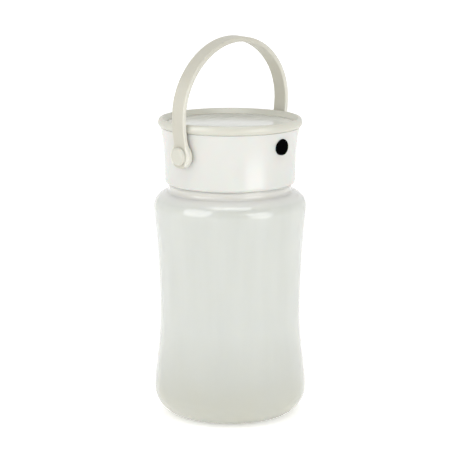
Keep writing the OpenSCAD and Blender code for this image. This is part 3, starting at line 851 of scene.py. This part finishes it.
def black_rubber():
    """Matt black button."""
    finish = moulded("black_rubber", (0.0018, 0.0018, 0.0018), (0.0012, 0.0012, 0.0012),
                     0.6, 0.3 * MM, 0.01 * MM, (0.008, 0.008, 0.008))
    finish.set(specular_ior_level=0.0)
    return finish.material


def seal_silicone():
    """Milky rubber of the seal and the gasket."""
    finish = moulded("seal_silicone", (0.6, 0.6, 0.57), (0.52, 0.52, 0.49),
                     0.5, 0.3 * MM, 0.01 * MM, (0.66, 0.66, 0.63))
    finish.set(subsurface_weight=0.2, subsurface_scale=2 * MM)
    return finish.material


def solar_cell():
    """Blue-black silicon with fine silver fingers 2.4 mm apart."""
    finger_scale = 130
    finish = Finish("solar_cell")
    crystals = finish.nodes.new("ShaderNodeTexVoronoi")
    crystals.inputs["Scale"].default_value = 1 / (3.5 * MM)
    finish.links.new(finish.place, crystals.inputs["Vector"])
    shade = finish.mix(crystals.outputs["Distance"], (0.010, 0.013, 0.03), (0.018, 0.024, 0.05))
    fingers = finish.nodes.new("ShaderNodeTexWave")
    fingers.bands_direction = "X"
    fingers.wave_profile = "SIN"
    fingers.inputs["Scale"].default_value = finger_scale
    fingers.inputs["Distortion"].default_value = 0
    finish.links.new(finish.place, fingers.inputs["Vector"])
    line = finish.ramp(fingers.outputs["Fac"], 0, 1, 0.965, 0.985)
    finish.colour(finish.mix(line, shade, (0.4, 0.4, 0.4)))
    finish.roughness(finish.ramp(line, 0.25, 0.45, 0, 1))
    finish.bump(line, 0.02 * MM, 0.5)
    return finish.material


def board(name, base, trace, rough):
    """Laminate with faint routed tracks under its lacquer."""
    finish = Finish(name)
    tracks = finish.nodes.new("ShaderNodeTexBrick")
    tracks.inputs["Scale"].default_value = 1
    tracks.inputs["Brick Width"].default_value = 4 * MM
    tracks.inputs["Row Height"].default_value = 1.6 * MM
    tracks.inputs["Mortar Size"].default_value = 0.12 * MM
    finish.links.new(finish.place, tracks.inputs["Vector"])
    body = finish.mix(finish.noise(5 * MM, 3), base, tuple(channel * 1.25 for channel in base))
    finish.colour(finish.mix(tracks.outputs["Fac"], body, trace))
    finish.roughness(finish.ramp(finish.noise(2 * MM, 4), rough, rough + 0.1))
    finish.bump(tracks.outputs["Fac"], 0.03 * MM, 0.6)
    return finish.material


def led():
    """Yellow phosphor with a fine grain."""
    finish = Finish("led")
    grain = finish.noise(0.4 * MM, 4)
    finish.colour(finish.mix(grain, (0.78, 0.6, 0.14), (0.85, 0.72, 0.25)))
    finish.roughness(finish.ramp(grain, 0.2, 0.35))
    finish.bump(grain, 0.02 * MM, 0.4)
    return finish.material


def cell_sleeve():
    """Green shrink sleeve on the cells, with fine wrinkles."""
    finish = Finish("cell_sleeve")
    wrinkles = finish.noise(1.2 * MM, 4, 0.5, finish.stretch(0.3, 1, 1))
    finish.colour(finish.mix(wrinkles, (0.05, 0.25, 0.13), (0.08, 0.34, 0.18)))
    finish.roughness(finish.ramp(wrinkles, 0.22, 0.36))
    finish.bump(wrinkles, 0.05 * MM, 0.4)
    return finish.material


def dark_plastic():
    """Matt black mouldings: cell tray, switch and board parts."""
    return moulded("dark_plastic", (0.03, 0.03, 0.032), (0.02, 0.02, 0.022),
                   0.5, 0.4 * MM, 0.01 * MM, (0.06, 0.06, 0.065)).material


def steel():
    """Plated steel with drawn streaks and dulled edges."""
    finish = Finish("steel")
    finish.set(metallic=1.0)
    streaks = finish.noise(0.8 * MM, 5, 0.6, finish.stretch(1, 1, 0.15))
    finish.colour(finish.mix(streaks, (0.5, 0.5, 0.5), (0.66, 0.66, 0.65)))
    finish.roughness(finish.ramp(streaks, 0.22, 0.4))
    finish.bump(streaks, 0.01 * MM, 0.5)
    return finish.material


def wire_sleeve():
    """Red insulation of the thin wires."""
    return moulded("wire_sleeve", (0.5, 0.03, 0.02), (0.4, 0.02, 0.015),
                   0.38, 0.3 * MM, 0.01 * MM, (0.56, 0.08, 0.06)).material


MATERIALS = {
    "frosted_plastic": frosted_plastic(),
    "white_plastic": white_plastic(),
    "cream_plastic": cream_plastic(),
    "cream_strap": cream_strap(),
    "clear_cover": clear_cover(),
    "black_rubber": black_rubber(),
    "seal_silicone": seal_silicone(),
    "solar_cell": solar_cell(),
    "panel_board": board("panel_board", (0.02, 0.022, 0.03), (0.12, 0.12, 0.12), 0.3),
    "circuit_board": board("circuit_board", (0.02, 0.12, 0.04), (0.1, 0.3, 0.12), 0.3),
    "lamp_board": board("lamp_board", (0.68, 0.68, 0.66), (0.6, 0.6, 0.57), 0.35),
    "led": led(),
    "cell_sleeve": cell_sleeve(),
    "dark_plastic": dark_plastic(),
    "steel": steel(),
    "wire_sleeve": wire_sleeve(),
}


# ---------------------------------------------------------------- assembly

def dress(piece, slot, body, *nodes):
    """Gives a new piece its material and its body, and hides the CAD nodes that it stands for."""
    piece.data.materials.clear()
    piece.data.materials.append(MATERIALS[slot])
    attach(piece, body)
    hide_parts(*nodes)


dress(make_bottle(), "frosted_plastic", "bottle", "bottle")
dress(make_cap(), "white_plastic", "cap", "cap_shell")
dress(make_rim(), "cream_plastic", "cap", "rim_ring")
dress(make_window(), "clear_cover", "cap", "window")
dress(make_button(), "black_rubber", "button", "power_button")
dress(make_stud("stud_left", -1), "cream_plastic", "cap", "left_stud")
dress(make_stud("stud_right", 1), "cream_plastic", "cap", "right_stud")
dress(make_handle(), "cream_strap", "bail", "handle")

for subpart in frame["record"]["subparts"]:
    node = frame["nodes"][subpart["node"]]
    node.data.materials.clear()
    node.data.materials.append(MATERIALS[subpart["material_slot"]])


# ---------------------------------------------------------------- camera

CAMERA_AZIMUTH = radians(48.1)
CAMERA_DISTANCE = 1.1772
CAMERA_HEIGHT = 0.3585
CAMERA_PITCH = radians(11.35)
CAMERA_PAN = radians(0.022)
CAMERA_LENS = 143.14

camera = bpy.data.objects.new("camera", bpy.data.cameras.new("camera"))
camera.location = (
    -CAMERA_DISTANCE * sin(CAMERA_AZIMUTH),
    -CAMERA_DISTANCE * cos(CAMERA_AZIMUTH),
    CAMERA_HEIGHT,
)
camera.rotation_euler = (pi / 2 - CAMERA_PITCH, 0, CAMERA_PAN - CAMERA_AZIMUTH)
camera.data.sensor_width = 36
camera.data.lens = CAMERA_LENS
bpy.context.scene.collection.objects.link(camera)
bpy.context.scene.camera = camera


# ---------------------------------------------------------------- floor and light

FLOOR_GLOW = 0.3
FLOOR_HALF = 9.0
AIM_HEIGHT = 0.12


def make_floor():
    """A wide pale light table under the bottle."""
    mesh = bmesh.new()
    corners = [(x * FLOOR_HALF, y * FLOOR_HALF, 0) for x, y in ((-1, -1), (1, -1), (1, 1), (-1, 1))]
    mesh.faces.new([mesh.verts.new(corner) for corner in corners])
    floor = to_object("floor", mesh)
    finish = Finish("floor_white")
    speckle = finish.noise(40 * MM, 3)
    finish.colour(finish.mix(speckle, (0.93, 0.93, 0.93), (0.95, 0.95, 0.95)))
    finish.set(specular_ior_level=0.1, roughness=0.7, emission_strength=FLOOR_GLOW)
    finish.shader.inputs["Emission Color"].default_value = (1, 1, 1, 1)
    floor.data.materials.append(finish.material)
    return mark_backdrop(floor)


def softbox(name, azimuth, elevation, distance, width, height, radiance, diffuse=True, gloss=True):
    """An area light aimed at the bottle's middle, azimuth degrees to the right of the camera.

    Without diffuse it only makes highlights, and without gloss it makes none.
    """
    light = bpy.data.objects.new(name, bpy.data.lights.new(name, "AREA"))
    light.data.shape = "RECTANGLE"
    light.data.size = width
    light.data.size_y = height
    light.data.energy = radiance * pi * width * height
    light.visible_diffuse = diffuse
    light.visible_transmission = diffuse
    light.visible_glossy = gloss
    side = radians(azimuth) - CAMERA_AZIMUTH
    up = radians(elevation)
    aim = Vector((0, 0, AIM_HEIGHT))
    away = Vector((sin(side) * cos(up), -cos(side) * cos(up), sin(up)))
    light.location = aim + away * distance
    light.rotation_euler = away.to_track_quat("Z", "Y").to_euler()
    bpy.context.scene.collection.objects.link(light)


make_floor()
softbox("softbox_left", -53, 22, 0.9, 0.66, 0.72, 0.9)
softbox("softbox_right", 46, 9.5, 0.6, 0.425, 0.42, 1.0)
softbox("softbox_top", 0, 68, 1.1, 0.9, 0.5, 0.95)
softbox("softbox_front", -3, 8, 1.3, 0.6, 0.6, 2.75, gloss=False)
softbox("gloss_left", -53, 22, 0.95, 0.7, 0.76, 3.6, diffuse=False)
softbox("gloss_right", 42, 9.5, 0.6, 0.36, 0.42, 2.8, diffuse=False)
softbox("gloss_top", 0, 68, 1.15, 0.94, 0.52, 2.8, diffuse=False)


def make_world(horizon, zenith, behind_camera):
    """White surroundings, graded from horizon to zenith and dimmed to a fraction behind the camera."""
    world = bpy.data.worlds.new("studio")
    world.use_nodes = True
    nodes = world.node_tree.nodes
    links = world.node_tree.links
    direction = nodes.new("ShaderNodeTexCoord").outputs["Generated"]
    height = nodes.new("ShaderNodeSeparateXYZ")
    links.new(direction, height.inputs[0])
    upward = nodes.new("ShaderNodeMapRange")
    upward.name = "upward"
    upward.inputs["To Min"].default_value = horizon
    upward.inputs["To Max"].default_value = zenith
    links.new(height.outputs[2], upward.inputs["Value"])
    facing = nodes.new("ShaderNodeVectorMath")
    facing.operation = "DOT_PRODUCT"
    facing.inputs[1].default_value = (-sin(CAMERA_AZIMUTH), -cos(CAMERA_AZIMUTH), 0)
    links.new(direction, facing.inputs[0])
    dimming = nodes.new("ShaderNodeMapRange")
    dimming.inputs["From Max"].default_value = 0.7
    dimming.inputs["To Min"].default_value = 1
    dimming.inputs["To Max"].default_value = behind_camera
    links.new(facing.outputs["Value"], dimming.inputs["Value"])
    brightness = nodes.new("ShaderNodeMath")
    brightness.operation = "MULTIPLY"
    links.new(upward.outputs["Result"], brightness.inputs[0])
    links.new(dimming.outputs["Result"], brightness.inputs[1])
    nodes["Background"].inputs["Color"].default_value = (1, 1, 1, 1)
    links.new(brightness.outputs[0], nodes["Background"].inputs["Strength"])
    bpy.context.scene.world = world


make_world(1.025, 1.0, 0.55)
bpy.context.scene.view_settings.view_transform = "Standard"
